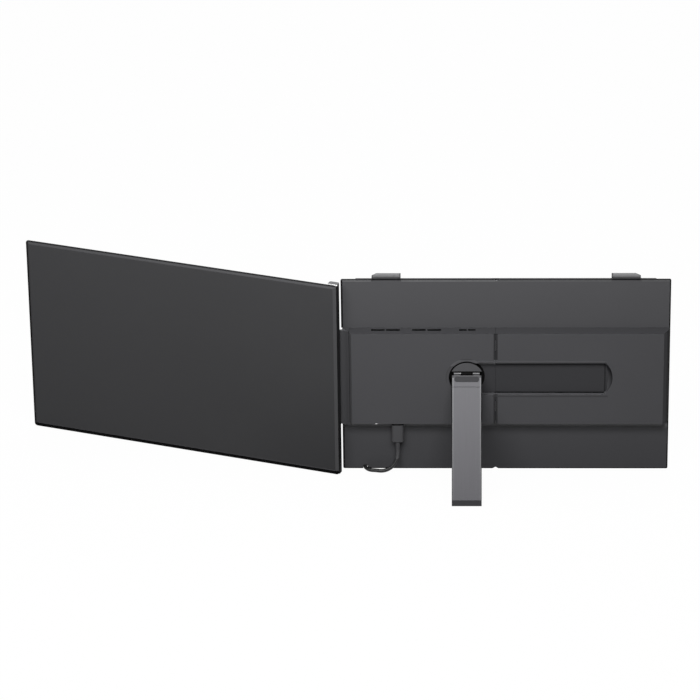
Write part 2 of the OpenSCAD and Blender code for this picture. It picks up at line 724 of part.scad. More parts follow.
// ---- stand ----

module stand_disc() {
    color("#505052") bracket_frame() difference() {
        union() {
            bar_y(disc_x, mid_z, disc_r, disc_base_y, disc_base_y + disc_base_t);
            intersection() {
                bar_y(disc_x, mid_z, disc_r, face_y + 0.1, disc_base_y + eps);
                block(disc_x - disc_r, disc_x + disc_r, face_y, 0, pin_z + pin_r + 1, plate_h);
            }
            bar_x(pin_y, pin_z, pin_r + 0.75, disc_x - knuckle_w / 2, disc_x + knuckle_w / 2);
            block(disc_x - knuckle_w / 2, disc_x + knuckle_w / 2, pin_y, disc_base_y + eps,
                pin_z - 1.2, pin_z + 1.2);
            bar_y(disc_x, mid_z, disc_shaft_r, disc_base_y + eps, pocket_y + floor_t + run_gap);
        }
        bar_x(pin_y, pin_z, pin_r + pin_gap, disc_x - 30, disc_x + 30);
        bar_y(disc_x, mid_z, 1.5, disc_base_y + 0.4, 1);
    }
}
module disc_washer() {
    y0 = pocket_y + floor_t + run_gap;
    color("#a9a9ad") bracket_frame() difference() {
        bar_y(disc_x, mid_z, washer_r, y0, y0 + washer_t);
        bar_y(disc_x, mid_z, 1.5, y0 - 1, y0 + 2);
    }
}
module disc_screw() {
    y0 = pocket_y + floor_t + run_gap + washer_t;
    color("#8c8c90") bracket_frame() {
        bar_y(disc_x, mid_z, 3.2, y0, y0 + 1.3);
        bar_y(disc_x, mid_z, 1.45, disc_base_y + 0.6, y0 + eps);
    }
}

// Top of the leg: two tabs hold the pin, and a groove parts it from the leg
module leg_head() {
    y1 = leg_y0 + leg_t;
    color("#8a898e") bracket_frame() leg_frame() difference() {
        union() {
            block(-leg_w / 2, leg_w / 2, leg_y0, y1, pin_z - head_gap - head_l, pin_z - head_gap);
            for (s = [-1, 1]) {
                x0 = s > 0 ? tab_x : -tab_x - tab_w;
                bar_x(pin_y, pin_z, leg_t / 2, x0, x0 + tab_w);
                block(x0, x0 + tab_w, leg_y0 + 1.1, y1, pin_z - head_gap - eps, pin_z);
            }
        }
        bar_x(pin_y, pin_z, pin_r, -30, 30);
        slab(leg_y0 - 1, leg_y0 + 0.5) leg_pill(0);
    }
}
// Oval inlay near the top of the leg
module leg_pill(g) {
    z1 = pin_z - head_gap - 1.2;
    soft_rect(-12 + g, 12 - g, z1 - 5.3 + g, z1 - g, 2.6 - g);
}
module leg_hinge_pad() {
    color("#4c4c4f") bracket_frame() leg_frame() slab(leg_y0 - 0.15, leg_y0 + 0.5) leg_pill(fit);
}

module leg_plate() {
    top = pin_z - head_gap - head_l - 0.35;
    color("#7f7e84") bracket_frame() leg_frame() {
        block(-leg_w / 2, leg_w / 2, leg_y0, leg_y0 + leg_t, pin_z - leg_tip + foot_l, top);
        block(-leg_w / 2 + 1, leg_w / 2 - 1, leg_y0 + 0.6, leg_y0 + leg_t - 0.6, top - eps, top + 0.35);
        block(-leg_w / 2 + 2, leg_w / 2 - 2, leg_y0 + 0.8, leg_y0 + leg_t - 0.8,
            pin_z - leg_tip + foot_l - 2.5, pin_z - leg_tip + foot_l + eps);
    }
}
// Rubber foot, cut level with the floor at rest
module leg_foot() {
    z1 = pin_z - leg_tip + foot_l;
    color("#3a3a3c") bracket_frame() leg_frame() difference() {
        along_x(-leg_w / 2, leg_w / 2) polygon([[leg_y0, z1], [leg_y0 + leg_t, z1],
            [leg_y0 + leg_t, pin_z - leg_tip + tan(leg_open) * leg_t], [leg_y0, pin_z - leg_tip]]);
        block(-leg_w / 2 + 2, leg_w / 2 - 2, leg_y0 + 0.8, leg_y0 + leg_t - 0.8, z1 - 2.5, z1 + 1);
    }
}
module leg_pin() {
    color("#c9c9cd") bracket_frame() leg_frame()
        bar_x(pin_y, pin_z, pin_r, -tab_x - tab_w, tab_x + tab_w);
}

// ---- side screen ----

// One level of the cover's outline: a thin slice at depth y, set in all round
module cover_slice(y, inset, r) {
    translate([0, y + 0.05, 0]) rotate([90, 0, 0]) linear_extrude(0.05)
        hull() for (x = [-screen_w + inset + r, -inset - r], z = [inset + r, plate_h - inset - r])
            translate([x, z]) circle(r, $fn = 24);
}
module screen_back_cover() {
    color("#424244") bracket_frame() screen_frame() difference() {
        union() {
            hull() {
                cover_slice(0, screen_bevel, 1.5);
                cover_slice(bevel_d, 0, 3);
            }
            hull() {
                cover_slice(bevel_d, 0, 3);
                cover_slice(bevel_d + 0.5, 0, 3);
            }
            hull() {
                cover_slice(bevel_d + 0.5, 0, 3);
                cover_slice(case_t - 0.05, front_inset, 3);
            }
        }
        block(-screen_w + cover_wall_in, -spine_w - 2, cover_floor, 20,
            cover_wall_in, plate_h - cover_wall_in);
        block(-spine_w - 0.2, 1, spine_y0, 20, -1, plate_h + 1);
    }
}
module screen_front_frame() {
    color("#2e2e30") bracket_frame() screen_frame() slab(case_t, screen_t) difference() {
        soft_rect(-screen_w + front_inset, -spine_w - 0.2, front_inset, plate_h - front_inset, 2.8);
        soft_rect(-screen_w + front_inset + 1.6, -spine_w - 1.8,
            front_inset + 1.6, plate_h - front_inset - 1.6, 1.6);
    }
}
module display_glass() {
    m = 1.7;
    color("#101014") bracket_frame() screen_frame() slab(case_t, case_t + glass_t)
        soft_rect(-screen_w + front_inset + m, -spine_w - 0.2 - m,
            front_inset + m, plate_h - front_inset - m, 1.5);
}
// Liquid-crystal cell
module display_panel() {
    color("#1b1c22") bracket_frame() screen_frame() block(-picture_side - picture_w, -picture_side,
        case_t - 1.5, case_t, border_h, border_h + picture_h);
}
// Light guide, with its metal tray, behind the cell
module backlight_plate() {
    m = 0.6;
    color("#c9cbcf") bracket_frame() screen_frame() block(-picture_side - picture_w + m, -picture_side - m,
        case_t - 3, case_t - 1.5, border_h + m, border_h + picture_h - m);
}
module driver_board() {
    color("#24543a") bracket_frame() screen_frame() {
        block(-190, -60, cover_floor, cover_floor + 1, 14, 40);
        for (x = [-178, -150, -120, -92]) block(x, x + 10, cover_floor + 1 - eps, cover_floor + 1.8, 20, 29);
        for (x = [-186, -136, -106, -72]) block(x, x + 4, cover_floor + 1 - eps, cover_floor + 1.6, 32, 36);
        block(-84, -64, cover_floor + 1 - eps, cover_floor + 2, 16, 19);
    }
}
// Flat cable from the driver board up to the cell
module display_ribbon() {
    color("#b98b3a") bracket_frame() screen_frame() {
        block(-170, -110, case_t - 3.15, case_t - 3, 37, 60);
        block(-170, -110, cover_floor + 1, case_t - 3.05, 38.5, 38.7);
    }
}

// Hollow bar along the hinge edge
module screen_spine() {
    color("#48484a") bracket_frame() screen_frame() difference() {
        upright(0.4, plate_h) difference() {
            union() {
                soft_rect(-spine_w, -0.1, spine_y0 + 1, spine_d, 1.8);
                rect(-spine_w, -0.1, spine_y0, spine_y0 + 3);
            }
        }
        block(-spine_w + spine_wall, -spine_wall, spine_y0 - 1, spine_d - spine_wall, 3, plate_h - 3);
        for (s = [-1, 1]) block(-spine_w + spine_wall, -arm_x0 + 0.3, spine_d - spine_wall - 1, spine_d + 1,
            arm_z(s) - 0.2, arm_z(s) + arm_h + 0.2);
        for (p = SPINE_SCREWS) bar_y(-2.9, p, 0.75, spine_y0, spine_d - 0.6);
    }
}
function arm_z(s) = s > 0 ? mid_z + knuckle_h / 2 + 0.3 : mid_z - knuckle_h / 2 - 0.3 - arm_h;
SPINE_SCREWS = [mid_z - 20, mid_z, mid_z + 20];

// Two steel arms with their eyes, on a strap inside the bar
module hinge_arms() {
    color("#8c8c90") bracket_frame() screen_frame() difference() {
        union() {
            for (s = [-1, 1]) {
                translate([-hinge_inset, hinge_depth, arm_z(s)]) cylinder(h = arm_h, r = eye_r);
                block(-arm_x0 - arm_w, -arm_x0, spine_d - spine_wall - 1, hinge_depth,
                    arm_z(s), arm_z(s) + arm_h);
            }
            block(-spine_w + spine_wall + fit, -spine_wall - fit, spine_d - spine_wall - strap_t,
                spine_d - spine_wall, arm_z(-1), arm_z(1) + arm_h);
        }
        translate([-hinge_inset, hinge_depth, 0]) cylinder(h = plate_h, r = hinge_pin_r + pin_gap);
        for (p = SPINE_SCREWS) bar_y(-2.9, p, 0.85, 0, spine_d);
    }
}
module spine_screws() {
    color("#8c8c90") bracket_frame() screen_frame() for (p = SPINE_SCREWS) {
        bar_y(-2.9, p, 1.2, spine_d - spine_wall - strap_t - 0.8, spine_d - spine_wall - strap_t);
        bar_y(-2.9, p, 0.7, spine_d - spine_wall - strap_t - eps, spine_d - 0.7);
    }
}

// ---- cable ----

// A moulded grip with its metal shell, along +Z from the origin
module plug() {
    color("#47474a") hull() for (x = [-1, 1]) translate([x * (grip_w - grip_t) / 2, 0, 0]) {
        translate([0, 0, 0.6]) cylinder(h = grip_l - 1.2, r = grip_t / 2, $fn = 32);
        cylinder(h = grip_l, r = grip_t / 2 - 0.6, $fn = 32);
    }
    color("#c4c4c8") translate([0, 0, grip_l - eps]) difference() {
        linear_extrude(shell_l) soft_rect(-shell_w / 2, shell_w / 2, -shell_t / 2, shell_t / 2, 1.1);
        translate([0, 0, 1.2]) linear_extrude(shell_l)
            soft_rect(-shell_w / 2 + 0.4, shell_w / 2 - 0.4, -shell_t / 2 + 0.4, shell_t / 2 - 0.4, 0.75);
    }
}
plug_z = body_z - 1.2 - grip_l;
module cable_plug() { bracket_frame() translate([port_a, -3.5, plug_z]) plug(); }
module cable_relief() {
    color("#3c3c3e") bracket_frame() translate([port_a, -3.5, plug_z - relief_l])
        cylinder(h = relief_l, r1 = cord_r + 0.2, r2 = cord_r + 0.7);
}

// Direction of the route at point i
function way(p, i) = let (a = p[max(i - 1, 0)], b = p[min(i + 1, len(p) - 1)], d = b - a) d / norm(d);
// A ring of points round the route at point i
function ring(p, i, r, n) = let (w = way(p, i), u0 = cross(w, [0, -1, 1]), u = u0 / norm(u0), v = cross(w, u))
    [for (k = [0 : n - 1]) p[i] + r * (cos(360 * k / n) * u + sin(360 * k / n) * v)];
// A tube swept along the route's points
module tube(p, r, n) {
    m = len(p);
    polyhedron(points = [for (i = [0 : m - 1]) each ring(p, i, r, n)],
        faces = concat([[for (k = [n - 1 : -1 : 0]) k]],
            [for (i = [0 : m - 2], k = [0 : n - 1]) [i * n + k, i * n + (k + 1) % n,
                (i + 1) * n + (k + 1) % n, (i + 1) * n + k]],
            [[for (k = [0 : n - 1]) (m - 1) * n + k]]));
}
module cable_run() {
    color("#2a2a2c") bracket_frame() {
        tube(CORD, cord_r, 8);
        tube(TAIL, cord_r, 8);
    }
}
// The wound coil stands in the gap between the bracket and the closed screen
module cable_coil() {
    color("#2a2a2c") bracket_frame() translate([coil_x, cord_y, coil_z]) rotate([90, 0, 0])
        rotate_extrude() soft_rect(coil_in - cord_r, coil_r + cord_r, -2 * cord_r, 2 * cord_r, 1.2);
}
module cable_tie() {
    h = 0.45;
    r0 = coil_in - cord_r - h;
    r1 = coil_r + cord_r + h;
    color("#1d1d1f") bracket_frame() translate([coil_x, cord_y, coil_z]) difference() {
        block(r0, r1, -2 * cord_r - h, 2 * cord_r + h, -4, 4);
        rotate([90, 0, 0]) difference() {
            cylinder(h = 4 * cord_r + 0.04, r = coil_r + cord_r + 0.02, center = true);
            cylinder(h = 20, r = coil_in - cord_r - 0.02, center = true);
        }
    }
}
module cable_end_relief() {
    color("#3c3c3e") bracket_frame() translate([end_plug_x, cord_y, grip_w / 2]) rotate([0, 90, 0])
        cylinder(h = relief_l, r1 = cord_r + 0.2, r2 = cord_r + 0.7);
}
module cable_end_plug() {
    bracket_frame() translate([end_plug_x + relief_l, cord_y, grip_w / 2]) rotate([0, 90, 0]) plug();
}

left_back_plate();
slide_plate();
upper_pad();
lower_pad();
left_housing();
left_vent_strip();
leg_tray();
upper_rail();
lower_rail();
rail_rivets();
bracket_screws();
left_housing_screws();
main_board();
port_board();
usb_ports();
board_flex();
hinge_bracket();
hinge_pin();
hinge_cover();
left_hook_guide();
right_back_plate();
right_housing();
right_top_strip();
upper_runner();
lower_runner();
right_housing_screws();
right_hook_guide();
left_hook();
left_hook_pad();
right_hook();
right_hook_pad();
stand_disc();
disc_washer();
disc_screw();
leg_head();
leg_plate();
leg_hinge_pad();
leg_foot();
leg_pin();
screen_back_cover();
screen_front_frame();
display_glass();
display_panel();
backlight_plate();
driver_board();
display_ribbon();
screen_spine();
hinge_arms();
spine_screws();
cable_plug();
cable_relief();
cable_run();
cable_coil();
cable_tie();
cable_end_relief();
cable_end_plug();
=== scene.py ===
import math
import bpy
import bmesh
from mathutils import Matrix, Vector


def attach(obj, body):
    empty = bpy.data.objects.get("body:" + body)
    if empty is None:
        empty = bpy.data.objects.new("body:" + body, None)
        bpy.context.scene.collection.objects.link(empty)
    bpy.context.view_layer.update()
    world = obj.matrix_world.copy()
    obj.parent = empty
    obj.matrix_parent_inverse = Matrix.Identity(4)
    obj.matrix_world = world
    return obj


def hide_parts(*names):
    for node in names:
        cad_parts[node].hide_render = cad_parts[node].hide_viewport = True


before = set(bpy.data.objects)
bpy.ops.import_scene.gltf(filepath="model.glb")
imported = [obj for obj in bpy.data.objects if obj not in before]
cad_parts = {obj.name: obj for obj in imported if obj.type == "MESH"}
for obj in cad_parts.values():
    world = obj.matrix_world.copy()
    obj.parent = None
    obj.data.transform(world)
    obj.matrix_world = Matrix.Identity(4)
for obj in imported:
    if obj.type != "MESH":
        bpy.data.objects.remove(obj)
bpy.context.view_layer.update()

# ---- Viewpoint and studio ----
# A long lens looks down at the backs of the bracket and of the side screen. Lengths in this file
# are millimetres from the lower left corner of the bracket's back, as in the part's source.

MIDDLE = (2.70357, 9.00120)  # the middle of the shared frame
EYE_AT = (131.55, -3764.45, 1940.21)
YAW, PITCH, ROLL = -1.877, 25.699, -0.824
FILM = 36
FOCAL, PICTURE = 4350.72, 700  # the focal length and the picture's width, in pixels


def P(x, y, z):
    """A place on the object, from the source's millimetres to metres."""
    return Vector(((x - MIDDLE[0]) / 1000, (y - MIDDLE[1]) / 1000, z / 1000))


yaw, pitch, roll = math.radians(YAW), math.radians(PITCH), math.radians(ROLL)
ahead = Vector((math.sin(yaw) * math.cos(pitch), math.cos(yaw) * math.cos(pitch), -math.sin(pitch)))
level = Vector((math.cos(yaw), -math.sin(yaw), 0))
lift = level.cross(ahead)
right = math.cos(roll) * level + math.sin(roll) * lift
up = -math.sin(roll) * level + math.cos(roll) * lift
eye = bpy.data.objects.new("camera", bpy.data.cameras.new("camera"))
bpy.context.collection.objects.link(eye)
eye.data.sensor_width = FILM
eye.data.lens = FILM * FOCAL / PICTURE
eye.data.clip_end = 50
turned = Matrix((right, up, -ahead)).transposed().to_4x4()
eye.matrix_world = Matrix.Translation(P(*EYE_AT)) @ turned
bpy.context.scene.camera = eye
bpy.context.scene.view_settings.view_transform = "Standard"


class Sock:
    """One output of a material's or the world's nodes. Sums and comparisons add Math nodes."""

    def __init__(self, tree, out):
        self.tree, self.out = tree, out

    def node(self, kind, settings=None, sockets=None, out=0):
        """A new node in the same tree; out is the name or number of the output that is used."""
        n = self.tree.nodes.new(kind)
        for key, value in (settings or {}).items():
            setattr(n, key, value)
        for key, value in (sockets or {}).items():
            plug_in(self.tree, n.inputs[key], value)
        return Sock(self.tree, n.outputs[out])

    def math(self, operation, a, b):
        return self.node("ShaderNodeMath", {"operation": operation}, {0: a, 1: b})

    def __add__(self, b): return self.math("ADD", self, b)
    def __radd__(self, a): return self.math("ADD", a, self)
    def __sub__(self, b): return self.math("SUBTRACT", self, b)
    def __rsub__(self, a): return self.math("SUBTRACT", a, self)
    def __mul__(self, b): return self.math("MULTIPLY", self, b)
    def __gt__(self, b): return self.math("GREATER_THAN", self, b)
    def __lt__(self, b): return self.math("LESS_THAN", self, b)

    def clamp(self):
        """Kept between 0 and 1."""
        return self.node("ShaderNodeClamp", None, {0: self})

    def seen(self):
        """1 for what the eye sees, straight, by a reflection or through glass, and 0 for light."""
        kinds = "Is Camera Ray", "Is Glossy Ray", "Is Transmission Ray"
        straight, mirrored, through = (self.node("ShaderNodeLightPath", out=kind) for kind in kinds)
        return (straight + mirrored + through).clamp()

    def grow(self, x, y, z):
        """The coordinates, stretched."""
        return self.node("ShaderNodeMapping", None, {0: self, "Scale": (x, y, z)})

    def noise(self, scale, detail, rough=0.5):
        """Noise between 0 and 1, its scale in waves to the metre."""
        return self.node("ShaderNodeTexNoise", None,
                         {"Vector": self, "Scale": scale, "Detail": detail, "Roughness": rough})

    def axis(self, k):
        """The coordinate on axis k, in metres."""
        return self.node("ShaderNodeSeparateXYZ", None, {0: self}, k)

    def band(self, k, lo, hi):
        """1 where the place on axis k lies between two of the source's millimetres."""
        place = self.axis(k) * 1000 + (*MIDDLE, 0)[k]
        return (place > lo) * (place < hi)

    def blend(self, a, b):
        """Colour a where this is 0, colour b where it is 1. The node's colours are its inputs 6
        and 7 and its output 2."""
        return self.node("ShaderNodeMix", {"data_type": "RGBA"}, {0: self, 6: a, 7: b}, 2)

    def bump(self, strength, distance):
        """A normal that leans as this rises and falls."""
        return self.node("ShaderNodeBump", None,
                         {"Strength": strength, "Distance": distance, "Height": self})


def plug_in(tree, socket, value):
    """Links an output into a socket, or sets a constant on it."""
    if isinstance(value, Sock):
        tree.links.new(value.out, socket)
    elif isinstance(value, tuple) and len(value) == 3 and socket.type == "RGBA":
        socket.default_value = (*value, 1)
    else:
        socket.default_value = value


def lamp(name, place, wide, deep, watts, aim):
    """A soft box; place, size and aim are in metres."""
    light = bpy.data.lights.new(name, "AREA")
    light.shape, light.size, light.size_y = "RECTANGLE", wide, deep
    light.energy = watts
    ob = bpy.data.objects.new(name, light)
    bpy.context.collection.objects.link(ob)
    ob.location = place
    ob.rotation_euler = (Vector(aim) - ob.location).to_track_quat("-Z", "Y").to_euler()


lamp("key_lamp", (-0.04, -0.52, 0.78), 1.0, 0.35, 11.2, (-0.02, 0, 0.1))
lamp("top_lamp", (0.0, 0.15, 1.2), 1.3, 0.6, 8.0, (0, 0, 0.1))
lamp("front_lamp", (0.0, 1.5, 0.9), 1.2, 0.8, 9.0, (0, 0, 0.1))

# the room is white to the eye and lights the object only faintly
ROOM_LIGHT, ROOM_SEEN = 0.06, 1.0
world = bpy.data.worlds.new("studio")
bpy.context.scene.world = world
world.use_nodes = True
world.node_tree.nodes.clear()
sky = Sock(world.node_tree, None)
lit, plain = (sky.node("ShaderNodeBackground", None, {"Color": (1, 1, 1), "Strength": strength})
              for strength in (ROOM_LIGHT, ROOM_SEEN))
both = sky.node("ShaderNodeMixShader", None, {0: sky.seen(), 1: lit, 2: plain})
end = world.node_tree.nodes.new("ShaderNodeOutputWorld")
world.node_tree.links.new(both.out, end.inputs["Surface"])


def link_up(name, mesh):
    """A new piece with this mesh or curve."""
    ob = bpy.data.objects.new(name, mesh)
    bpy.context.collection.objects.link(ob)
    return ob


def finish(name, **sockets):
    """A material of one Principled shader. A socket's value may be a function of the surface's
    coordinates."""
    m = bpy.data.materials.new(name)
    m.use_nodes = True
    tree = m.node_tree
    tree.nodes.clear()
    here = Sock(tree, None).node("ShaderNodeTexCoord", out="Object")
    shader = tree.nodes.new("ShaderNodeBsdfPrincipled")
    for key, value in sockets.items():
        value = value(here) if callable(value) else value
        plug_in(tree, shader.inputs[key.replace("_", " ")], value)
    tree.links.new(shader.outputs[0], tree.nodes.new("ShaderNodeOutputMaterial").inputs[0])
    return m


# the floor is white to the eye and keeps a faint shadow; to light it is a plain pale grey
FLOOR_WHITE, FLOOR_SEEN = 1.05, 0.93
bm = bmesh.new()
bmesh.ops.create_grid(bm, x_segments=1, y_segments=1, size=30)
floor_mesh = bpy.data.meshes.new("floor")
bm.to_mesh(floor_mesh)
bm.free()
floor = link_up("floor", floor_mesh)
floor.location.z = -0.0004
floor_finish = finish("floor_paper", Base_Color=(0.18, 0.18, 0.18), Roughness=0.9)
tree = floor_finish.node_tree
ground = Sock(tree, None)
paper = Sock(tree, tree.nodes["Principled BSDF"].outputs[0])
glow = ground.node("ShaderNodeEmission", None, {"Color": (1, 1, 1), "Strength": FLOOR_WHITE})
both = ground.node("ShaderNodeMixShader", None, {0: ground.seen() * FLOOR_SEEN, 1: paper, 2: glow})
tree.links.new(both.out, tree.nodes["Material Output"].inputs[0])
floor_mesh.materials.append(floor_finish)


# ---- Cable ----
# A thin round USB-C lead with a soft matt jacket. It leaves its plug under the housing, bends
# down to the floor and in under the bracket, where the spare length is wound up and tied.

CORD_R = 1.8
ROUTE = [(53.4, -3.5, 22.9), (53.4, -3.7, 18.5), (53.1, -4.3, 15), (52.3, -5.2, 12.4),
         (50.8, -6.5, 9.6), (48.3, -7.8, 6.5), (45, -8.7, 4), (41, -9.2, 2.4), (36.8, -9.2, 1.8),
         (33.4, -8.6, 1.8), (30.2, -8, 1.8), (27.3, -7.5, 1.8), (24.7, -6, 1.8), (22.8, -3.7, 1.95),
         (21.5, -0.9, 2.05), (21.55, 2.1, 2.05), (22.8, 4.9, 1.95), (24.7, 7.2, 1.8), (27.3, 8.7, 1.8),
         (30.2, 9.2, 1.8), (36, 9.1, 1.8), (46, 8.4, 1.8), (56, 7, 1.8), (64, 6.2, 1.8),
         (70.3, 6.08, 1.8)]
TAIL = [(98.1, 9.2, 2.2), (102, 8.6, 3), (108, 8.1, 4.3), (114, 7.9, 5.4), (119.9, 7.88, 5.8)]
COIL_X, COIL_Y, COIL_Z, COIL_R = 84, 7.88, 26.8, 25
LEAD_IN, LEAD_OUT = (77, 6.08, 1.8), (91, 9.66, 1.82)  # beside the coil
TURNS, KNOTS = 6, 14  # the coil's turns, and the knots on each
SWELL = 1.024  # makes up for the flats of the bevel's ring


def wind(t):
    """The coil's centre line at turn t: three turns inwards, a step across from turn 2.7 to 3.3,
    and three turns outwards."""
    reach = COIL_R - 2 * CORD_R * min(t, TURNS - t)
    side = -CORD_R + 2 * CORD_R * min(max((t - 2.7) / 0.6, 0), 1)
    a = math.radians(-90 + 360 * t)
    return (COIL_X + reach * math.cos(a), COIL_Y + side, COIL_Z + reach * math.sin(a))


def jacket(at):
    """The cord's colour; just under its plug's sleeve it is as pale as the sleeve."""
    plain = at.noise(300, 2).blend((0.006, 0.006, 0.006), (0.010, 0.010, 0.011))
    return (at.band(2, 13.6, 25) * at.band(0, 45, 60)).blend(plain, (0.052, 0.052, 0.055))


coil = [wind(k / KNOTS) for k in range(TURNS * KNOTS + 1)]
points = ROUTE + [LEAD_IN] + coil + [LEAD_OUT] + TAIL
line = bpy.data.curves.new("cable", "CURVE")
line.dimensions = "3D"
line.bevel_depth = CORD_R * SWELL / 1000
line.bevel_resolution = 4
line.resolution_u = 5
line.use_fill_caps = True
spline = line.splines.new("BEZIER")
spline.bezier_points.add(len(points) - 1)
for knot, p in zip(spline.bezier_points, points):
    knot.co = P(*p)
    knot.handle_left_type = knot.handle_right_type = "AUTO"
cable = link_up("cable", line)
line.materials.append(finish(
    "cable_jacket", Specular_IOR_Level=0.3,
    Base_Color=jacket,
    Roughness=lambda at: 0.4 + at.noise(900, 2) * 0.12,
    Normal=lambda at: at.noise(2200, 2).bump(0.12, 0.0002)))
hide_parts("cable_run", "cable_coil")
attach(cable, "bracket")
tuple(P(*ROUTE[0]))


# ---- Back plates ----
# Two flat aluminium plates, one fixed and one that slides, cut with slots for the rails and the
# stand. Their edges are broken slightly and they are powder coated in a fine matt dark grey.

SHARP = math.radians(28)


def softened(node, name, body, material, round_mm):
    """A copy of a rigid part, its sharp edges rounded as moulding or tumbling leaves them."""
    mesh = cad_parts[node].data.copy()
    mesh.name = name
    bm = bmesh.new()
    bm.from_mesh(mesh)
    bmesh.ops.remove_doubles(bm, verts=bm.verts, dist=2e-6)
    bmesh.ops.dissolve_limit(bm, angle_limit=math.radians(0.5), verts=bm.verts, edges=bm.edges)
    for face in bm.faces:
        face.smooth, face.material_index = True, 0
    bm.to_mesh(mesh)
    bm.free()
    mesh.materials.clear()
    mesh.materials.append(material)
    ob = link_up(name, mesh)
    edge = ob.modifiers.new("edges", "BEVEL")
    edge.width, edge.segments, edge.limit_method = round_mm / 1000, 2, "ANGLE"
    edge.angle_limit, edge.use_clamp_overlap = SHARP, True
    level = ob.modifiers.new("flat faces", "WEIGHTED_NORMAL")
    level.keep_sharp, level.weight = True, 100
    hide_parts(node)
    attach(ob, body)


def dress(material, *nodes):
    """Gives a material to parts whose shape needs nothing more."""
    for node in nodes:
        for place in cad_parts[node].material_slots:
            place.material = material


def marked(at, skin, marks):
    """The skin's colour, with its own tone at each mark; a later mark lies over the ones before."""
    for where, tone in marks:
        skin = where(at).blend(skin, tone)
    return skin


PLATE_H = 0.202  # metres


def powder_coat(name, dark, light, rough=0.55, marks=(), painted_top_light=0.0):
    """Matt powder coat: slight mottling and a fine orange-peel skin. As painted light, its colour
    pales with height up to the plates' top edge, as far as painted_top_light says."""
    def colour(at):
        mottle = at.noise(14, 3) * 0.6 + at.noise(900, 3) * 0.4
        skin = (mottle * (1 - painted_top_light) + at.axis(2) * (painted_top_light / PLATE_H)).blend(dark, light)
        return marked(at, skin, marks)
    return finish(
        name,
        Base_Color=colour,
        Roughness=lambda at: rough - 0.06 + at.noise(420, 3) * 0.12,
        Normal=lambda at: (at.noise(1900, 2) * 0.7 + at.noise(500, 2) * 0.3).bump(0.16, 0.0003),
        Specular_IOR_Level=0.05)


def painted_light_under_housing(at):
    """How near a place on the plates' backs is to the housing's lower edge, from z 41.5 up. There the
    coat is painted pale, as painted light against the housing's shadow.
    """
    near = (at.axis(2) * 180 - 7.47).clamp() * at.band(2, 0, 52) * at.band(1, -1, 0.5)
    return near * near


def top_edge_highlight(at):
    """The painted highlight on the bevel along the top, except behind the hooks. It is fainter on the
    sliding half.
    """
    beside_hooks = 1 - at.band(0, 29, 58) - at.band(0, 258, 287)
    return at.band(2, 200.1, 201.3) * beside_hooks * (1 - at.band(0, 147, 316) * 0.55)


def shaded_outline(at):
    """The outermost edges, which face away, painted near black as shade."""
    return 1 - at.band(0, 1.8, 313.7) * at.band(2, 1.1, 201.3)


plate_coat = powder_coat(
    "plate_coat", (0.056, 0.056, 0.060), (0.079, 0.079, 0.083), painted_top_light=0.75, marks=[
        (painted_light_under_housing, (0.210, 0.210, 0.216)),
        (top_edge_highlight, (0.150, 0.150, 0.154)),
        (shaded_outline, (0.008, 0.008, 0.009))])
softened("left_back_plate", "left_plate", "bracket", plate_coat, 0.3)
softened("right_back_plate", "right_plate", "right_half", plate_coat, 0.3)


# ---- Slide plate and lid pads ----
# A thinner plate screwed and riveted to the fixed half; the sliding half runs over it. Two long
# soft rubber pads on its front rest against the laptop's lid.

def shaded_seam_notch(at):
    """The bit of the plate that shows in the notch at the top of the seam, painted near black as
    shade.
    """
    return at.band(0, 144.5, 151.5) * at.band(1, 0, 2.7) * at.band(2, 197, 210)


softened("slide_plate", "slide_plate_coated", "bracket", powder_coat(
    "slide_coat", (0.045, 0.045, 0.048), (0.056, 0.056, 0.060),
    marks=[(shaded_seam_notch, (0.002, 0.002, 0.002))]), 0.25)
soft_rubber = finish(
    "soft_rubber",
    Base_Color=lambda at: at.noise(260, 4).blend((0.016, 0.016, 0.017), (0.026, 0.026, 0.027)),
    Roughness=lambda at: 0.72 + at.noise(600, 3) * 0.2,
    Normal=lambda at: at.noise(1500, 4).bump(0.35, 0.0003))
softened("upper_pad", "upper_lid_pad", "bracket", soft_rubber, 0.3)
softened("lower_pad", "lower_lid_pad", "bracket", soft_rubber, 0.3)


# ---- Housings ----
# Two moulded covers of spark-textured plastic over the rails and the electronics, each open at the
# seam. A separate darker strip with vent slots slopes along their top edge.

def moulded(name, dark, light, rough=0.5, marks=(), gloss=0.05):
    """Spark-eroded plastic: an even fine grain, with faint flow marks in its colour."""
    def colour(at):
        skin = (at.noise(9, 3) * 0.7 + at.noise(1300, 2) * 0.3).blend(dark, light)
        return marked(at, skin, marks)
    return finish(
        name,
        Base_Color=colour,
        Roughness=lambda at: rough - 0.05 + at.noise(700, 3) * 0.1,
        Normal=lambda at: at.noise(2600, 2).bump(0.14, 0.00025),
        Specular_IOR_Level=gloss)


DISC_X, MID_Z = 120.3, 101.0  # the middle of the stand's disc
PIN_Z = 105.3  # the leg's pin
WELL_R = 17.3
RING = 19.3, 20.4  # the radii of the ring of painted shade round the well
LIP_Y, FLOOR_Y = -6.95, -3.05  # just under the housing's face, and the pocket's floor
SCOOP_X, SCOOP_R2 = 237.6, 369  # the arc at the pocket's end: its middle and its radius squared
SCOOP_EDGE = 254.45
VENTS = [(28.6, 41.6), (43.2, 56.2), (68, 81), (82.8, 95.8), (113, 120.2), (121.6, 128.8)]


def reach(at, middle):
    """The squared distance in millimetres from a middle at half the housing's height."""
    x, z = at.axis(0) * 1000 + (MIDDLE[0] - middle), at.axis(2) * 1000 - MID_Z
    return x * x + z * z


def well(at):
    """The bore round the stand's disc, below the face, painted near black as shade."""
    return (reach(at, DISC_X) < WELL_R ** 2) * at.band(1, -6.35, 1)


def ring(at):
    """A faint ring of painted shade round the upper half of the well."""
    from_disc = reach(at, DISC_X)
    return (from_disc > RING[0] ** 2) * (from_disc < RING[1] ** 2) * at.band(2, 96, 125)


def scoop(at):
    """The thumb scoop at the pocket's end."""
    return at.band(1, -6.9, FLOOR_Y) * at.band(0, SCOOP_EDGE, 262)


